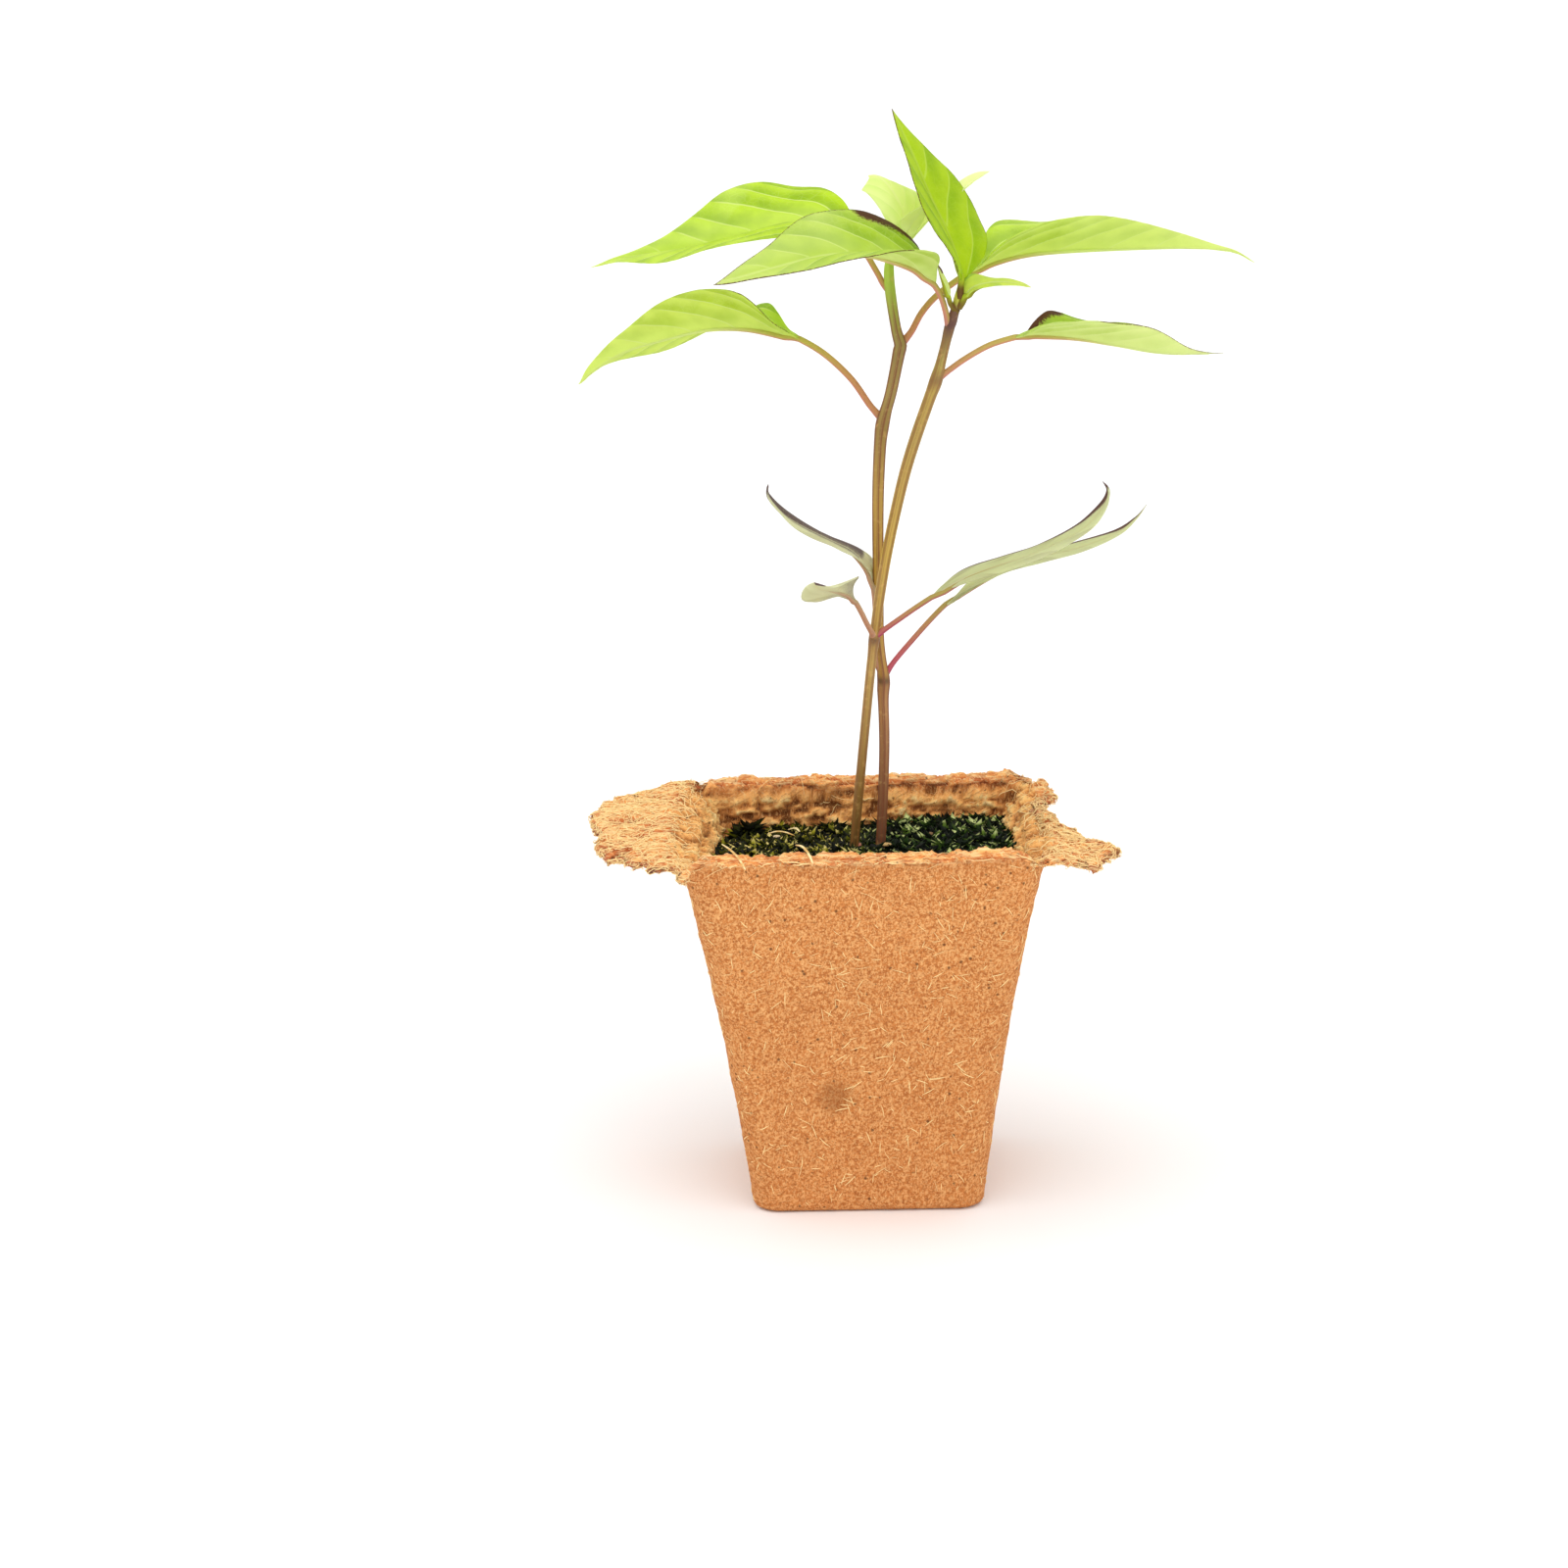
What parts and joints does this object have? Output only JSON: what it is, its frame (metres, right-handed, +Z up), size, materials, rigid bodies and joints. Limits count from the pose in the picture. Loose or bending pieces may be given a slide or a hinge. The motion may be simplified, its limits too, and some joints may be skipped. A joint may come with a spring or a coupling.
{
  "type": "potted chilli pepper plant",
  "caption": "Young chilli pepper seedlings with pointed leaves, growing from mossy soil in a square pot of pressed plant fibre with a torn rim.",
  "frame": {"origin": "centre of the pot's underside, on the surface that it stands on", "axes": "+Z up along the plant, -Y towards the side seen in the picture, +X to that view's right"},
  "size_m": [0.1226, 0.0659, 0.1921],
  "materials": {
    "pressed_fibre": "rough",
    "mossy_soil": "rough",
    "olive_stem": "satin",
    "brown_stem": "satin",
    "leaf_green": "satin",
    "seed_leaf_green": "satin"
  },
  "bodies": {
    "root": {"fibre_pot": "pressed_fibre", "soil": "mossy_soil", "front_stem": "olive_stem", "rear_stem": "brown_stem", "rear_leaf_1": "leaf_green", "rear_leaf_2": "leaf_green", "rear_leaf_3": "leaf_green", "rear_leaf_4": "leaf_green", "rear_leaf_5": "leaf_green", "rear_leaf_6": "leaf_green", "front_leaf_1": "leaf_green", "front_leaf_2": "leaf_green", "front_leaf_3": "leaf_green", "front_leaf_4": "leaf_green", "front_leaf_5": "leaf_green", "front_seed_leaf_right": "seed_leaf_green", "front_seed_leaf_left": "seed_leaf_green", "rear_seed_leaf_right": "seed_leaf_green", "rear_seed_leaf_left": "seed_leaf_green"}
  },
  "joints": []
}
